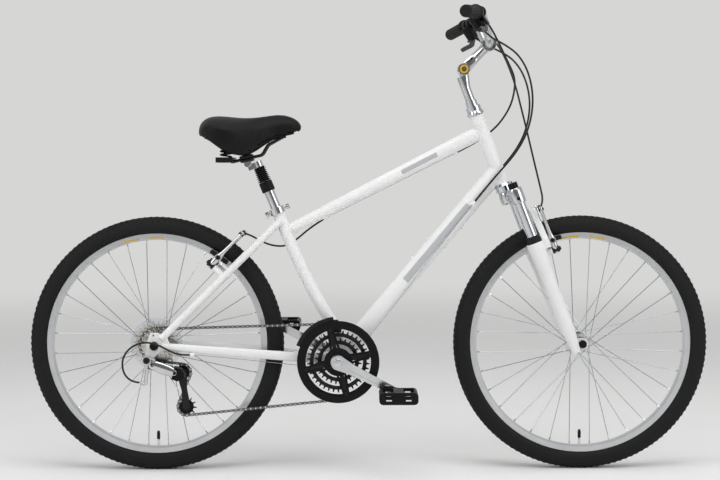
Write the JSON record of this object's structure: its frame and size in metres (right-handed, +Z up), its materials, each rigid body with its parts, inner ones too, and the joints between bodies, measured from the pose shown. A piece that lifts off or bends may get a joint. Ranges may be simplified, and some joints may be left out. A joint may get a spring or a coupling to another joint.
{
  "type": "hybrid bicycle",
  "caption": "Hybrid bicycle with a curved seat tube, suspension fork and seat post, rim brakes, derailleur gears and a riser handlebar on a tilting stem",
  "frame": {"origin": "on the ground, midway between the axles, in the bicycle's middle plane", "axes": "+X forward, +Y to the rider's left, +Z up"},
  "size_m": [1.746, 0.635, 1.1781],
  "materials": {
    "frame_paint": "glossy white paint",
    "fork_paint": "glossy white paint on cast legs",
    "polished_alloy": "polished alloy",
    "rim_alloy": "machined alloy",
    "crown_alloy": "grey anodised alloy",
    "bright_steel": "chromed steel",
    "spoke_steel": "drawn stainless wire",
    "plated_steel": "plated steel",
    "drive_steel": "oiled steel",
    "black_steel": "black coated steel",
    "black_plastic": "moulded black",
    "clear_plastic": "milky moulded disc",
    "tyre_rubber": "black treaded rubber",
    "soft_rubber": "matt black rubber",
    "saddle_vinyl": "black grained cover",
    "cable_cover": "black housing"
  },
  "bodies": {
    "frame": {"front_triangle": "frame_paint", "rear_triangle": "frame_paint", "headset": "bright_steel", "bottom_bracket": "black_steel", "seat_collar": "polished_alloy", "rear_axle": "bright_steel", "chain": "drive_steel", "front_derailleur_clamp": "black_steel", "derailleur_knuckle": "polished_alloy", "frame_cables": "cable_cover"},
    "steering": {"fork_crown": "crown_alloy", "fork_stanchions": "bright_steel", "preload_knobs": "black_plastic", "stem_quill": "polished_alloy"},
    "fork_slider": {"fork_lowers": "fork_paint", "fork_seals": "soft_rubber", "front_axle": "bright_steel"},
    "bars": {"stem_arm": "polished_alloy", "handlebar": "polished_alloy", "grips": "soft_rubber", "control_brackets": "black_plastic", "handlebar_cables": "cable_cover"},
    "right_brake_lever": {"right_brake_lever": "black_steel"},
    "left_brake_lever": {"left_brake_lever": "black_steel"},
    "right_shift_lever": {"right_shift_lever": "black_plastic"},
    "left_shift_lever": {"left_shift_lever": "black_plastic"},
    "front_brake_arm_right": {"front_brake_arm_right": "polished_alloy"},
    "front_brake_arm_left": {"front_brake_arm_left": "polished_alloy"},
    "rear_brake_arm_right": {"rear_brake_arm_right": "polished_alloy"},
    "rear_brake_arm_left": {"rear_brake_arm_left": "polished_alloy"},
    "front_wheel": {"front_tyre": "tyre_rubber", "front_rim": "rim_alloy", "front_spokes": "spoke_steel", "front_hub": "polished_alloy"},
    "rear_wheel": {"rear_tyre": "tyre_rubber", "rear_rim": "rim_alloy", "rear_spokes": "spoke_steel", "rear_hub": "polished_alloy", "spoke_protector": "clear_plastic"},
    "cassette": {"cassette": "plated_steel"},
    "crankset": {"cranks": "polished_alloy", "chainrings": "black_steel", "chain_guard": "black_plastic"},
    "right_pedal": {"right_pedal": "black_plastic"},
    "left_pedal": {"left_pedal": "black_plastic"},
    "derailleur_outer_link": {"derailleur_outer_link": "polished_alloy"},
    "derailleur_inner_link": {"derailleur_inner_link": "black_steel"},
    "derailleur_lower_knuckle": {"derailleur_lower_knuckle": "black_plastic"},
    "derailleur_cage": {"derailleur_cage": "black_steel"},
    "guide_pulley": {"guide_pulley": "black_plastic"},
    "tension_pulley": {"tension_pulley": "black_plastic"},
    "front_derailleur_cage": {"front_derailleur_cage": "black_steel"},
    "seat_post": {"seat_post": "polished_alloy", "seat_post_boot": "soft_rubber"},
    "saddle": {"seat_post_plunger": "polished_alloy", "saddle_clamp": "polished_alloy", "saddle_rails": "black_steel", "saddle_base": "black_plastic", "saddle_cover": "saddle_vinyl"},
    "seat_quick_release": {"seat_quick_release": "polished_alloy"}
  },
  "joints": [
    {"name": "steer", "type": "hinge", "parent": "frame", "child": "steering", "pos_m": [0.50866, 0, 0.31267], "axis": [-0.3584, 0, 0.9336], "range_deg": [-45, 45], "deforming": ["handlebar_cables"]},
    {"name": "fork_travel", "type": "slide", "parent": "steering", "child": "fork_slider", "axis": [-0.3584, 0, 0.9336], "range_m": [0, 0.05], "stiffness_N_per_m": 9000, "deforming": ["handlebar_cables"]},
    {"name": "stem_tilt", "type": "hinge", "parent": "steering", "child": "bars", "pos_m": [0.24607, 0, 1.03022], "axis": [0, 1, 0], "range_deg": [-15, 15], "deforming": ["handlebar_cables"]},
    {"name": "right_brake_squeeze", "type": "hinge", "parent": "bars", "child": "right_brake_lever", "pos_m": [0.28357, -0.18786, 1.13126], "axis": [-0.7816, 0.258, -0.5679], "range_deg": [0, 15], "stiffness_Nm_per_rad": 3, "deforming": ["handlebar_cables", "frame_cables"]},
    {"name": "left_brake_squeeze", "type": "hinge", "parent": "bars", "child": "left_brake_lever", "pos_m": [0.28357, 0.18786, 1.13126], "axis": [0.7816, 0.258, 0.5679], "range_deg": [0, 15], "stiffness_Nm_per_rad": 3, "deforming": ["handlebar_cables"]},
    {"name": "right_gear_trigger", "type": "hinge", "parent": "bars", "child": "right_shift_lever", "pos_m": [0.28079, -0.13756, 1.12272], "axis": [0.568, -0.0817, -0.8189], "range_deg": [0, 25], "stiffness_Nm_per_rad": 0.6},
    {"name": "left_gear_trigger", "type": "hinge", "parent": "bars", "child": "left_shift_lever", "pos_m": [0.28079, 0.13756, 1.12272], "axis": [-0.568, -0.0817, 0.8189], "range_deg": [0, 25], "stiffness_Nm_per_rad": 0.6},
    {"name": "front_right_pad_swing", "type": "hinge", "parent": "fork_slider", "child": "front_brake_arm_right", "pos_m": [0.47908, -0.04, 0.5683], "axis": [-0.9336, 0, -0.3584], "range_deg": [0, 2.2]},
    {"name": "front_left_pad_swing", "type": "hinge", "parent": "fork_slider", "child": "front_brake_arm_left", "pos_m": [0.47908, 0.04, 0.5683], "axis": [0.9336, 0, 0.3584], "range_deg": [0, 2.2]},
    {"name": "rear_right_pad_swing", "type": "hinge", "parent": "frame", "child": "rear_brake_arm_right", "pos_m": [-0.40234, -0.04, 0.53243], "axis": [-0.7033, 0, 0.7109], "range_deg": [0, 2.2]},
    {"name": "rear_left_pad_swing", "type": "hinge", "parent": "frame", "child": "rear_brake_arm_left", "pos_m": [-0.40234, 0.04, 0.53243], "axis": [0.7033, 0, -0.7109], "range_deg": [0, 2.2]},
    {"name": "front_wheel_spin", "type": "hinge", "parent": "fork_slider", "child": "front_wheel", "pos_m": [0.546, 0, 0.327], "axis": [0, 1, 0], "continuous": true},
    {"name": "rear_wheel_spin", "type": "hinge", "parent": "frame", "child": "rear_wheel", "pos_m": [-0.546, 0, 0.327], "axis": [0, 1, 0], "continuous": true},
    {"name": "crank_spin", "type": "hinge", "parent": "frame", "child": "crankset", "pos_m": [-0.078, 0, 0.284], "axis": [0, 1, 0], "continuous": true, "deforming": ["chain"]},
    {"name": "cassette_spin", "type": "hinge", "parent": "frame", "child": "cassette", "pos_m": [-0.546, 0, 0.327], "axis": [0, 1, 0], "continuous": true},
    {"name": "guide_pulley_spin", "type": "hinge", "parent": "derailleur_cage", "child": "guide_pulley", "pos_m": [-0.47864, -0.0437, 0.25521], "axis": [0, 1, 0], "continuous": true},
    {"name": "tension_pulley_spin", "type": "hinge", "parent": "derailleur_cage", "child": "tension_pulley", "pos_m": [-0.46789, -0.0437, 0.16786], "axis": [0, 1, 0], "continuous": true},
    {"name": "right_pedal_spin", "type": "hinge", "parent": "crankset", "child": "right_pedal", "pos_m": [0.07347, 0, 0.20682], "axis": [0, 1, 0], "continuous": true},
    {"name": "left_pedal_spin", "type": "hinge", "parent": "crankset", "child": "left_pedal", "pos_m": [-0.22947, 0, 0.36118], "axis": [0, 1, 0], "continuous": true},
    {"name": "derailleur_shift", "type": "hinge", "parent": "frame", "child": "derailleur_outer_link", "pos_m": [-0.548, -0.094, 0.281], "axis": [0.3486, 0, 0.9373], "range_deg": [-14, 14], "deforming": ["chain", "frame_cables"]},
    {"name": "derailleur_inner_swing", "type": "hinge", "parent": "frame", "child": "derailleur_inner_link", "pos_m": [-0.548, -0.081, 0.281], "axis": [0.3486, 0, 0.9373], "range_deg": [-14, 14]},
    {"name": "derailleur_knuckle_swing", "type": "hinge", "parent": "derailleur_outer_link", "child": "derailleur_lower_knuckle", "pos_m": [-0.49176, -0.094, 0.26009], "axis": [0.3486, 0, 0.9373], "range_deg": [-14, 14]},
    {"name": "chain_tension", "type": "hinge", "parent": "derailleur_lower_knuckle", "child": "derailleur_cage", "pos_m": [-0.47864, -0.0437, 0.25521], "axis": [0, 1, 0], "range_deg": [-25, 20], "stiffness_Nm_per_rad": 1.5, "deforming": ["chain"]},
    {"name": "front_derailleur_shift", "type": "slide", "parent": "frame", "child": "front_derailleur_cage", "axis": [0, 1, 0], "range_m": [0, 0.015], "deforming": ["chain"]},
    {"name": "seat_height", "type": "slide", "parent": "frame", "child": "seat_post", "axis": [-0.3827, 0, 0.9239], "range_m": [-0.04, 0.04]},
    {"name": "seat_travel", "type": "slide", "parent": "seat_post", "child": "saddle", "axis": [0.3827, 0, -0.9239], "range_m": [0, 0.03], "stiffness_N_per_m": 12000, "deforming": ["seat_post_boot"]},
    {"name": "seat_clamp_lever", "type": "hinge", "parent": "frame", "child": "seat_quick_release", "pos_m": [-0.25711, 0.025, 0.65943], "axis": [-0.9239, 0, -0.3827], "range_deg": [0, 150]}
  ],
  "couplings": [
    {"joint": "front_right_pad_swing", "follows": "left_brake_squeeze", "ratio": 0.14667},
    {"joint": "front_left_pad_swing", "follows": "left_brake_squeeze", "ratio": 0.14667},
    {"joint": "rear_right_pad_swing", "follows": "right_brake_squeeze", "ratio": 0.14667},
    {"joint": "rear_left_pad_swing", "follows": "right_brake_squeeze", "ratio": 0.14667},
    {"joint": "cassette_spin", "follows": "crank_spin", "ratio": 2.4},
    {"joint": "guide_pulley_spin", "follows": "crank_spin", "ratio": -4.3636},
    {"joint": "tension_pulley_spin", "follows": "crank_spin", "ratio": 4.3636},
    {"joint": "derailleur_inner_swing", "follows": "derailleur_shift", "ratio": 1},
    {"joint": "derailleur_knuckle_swing", "follows": "derailleur_shift", "ratio": -1}
  ]
}
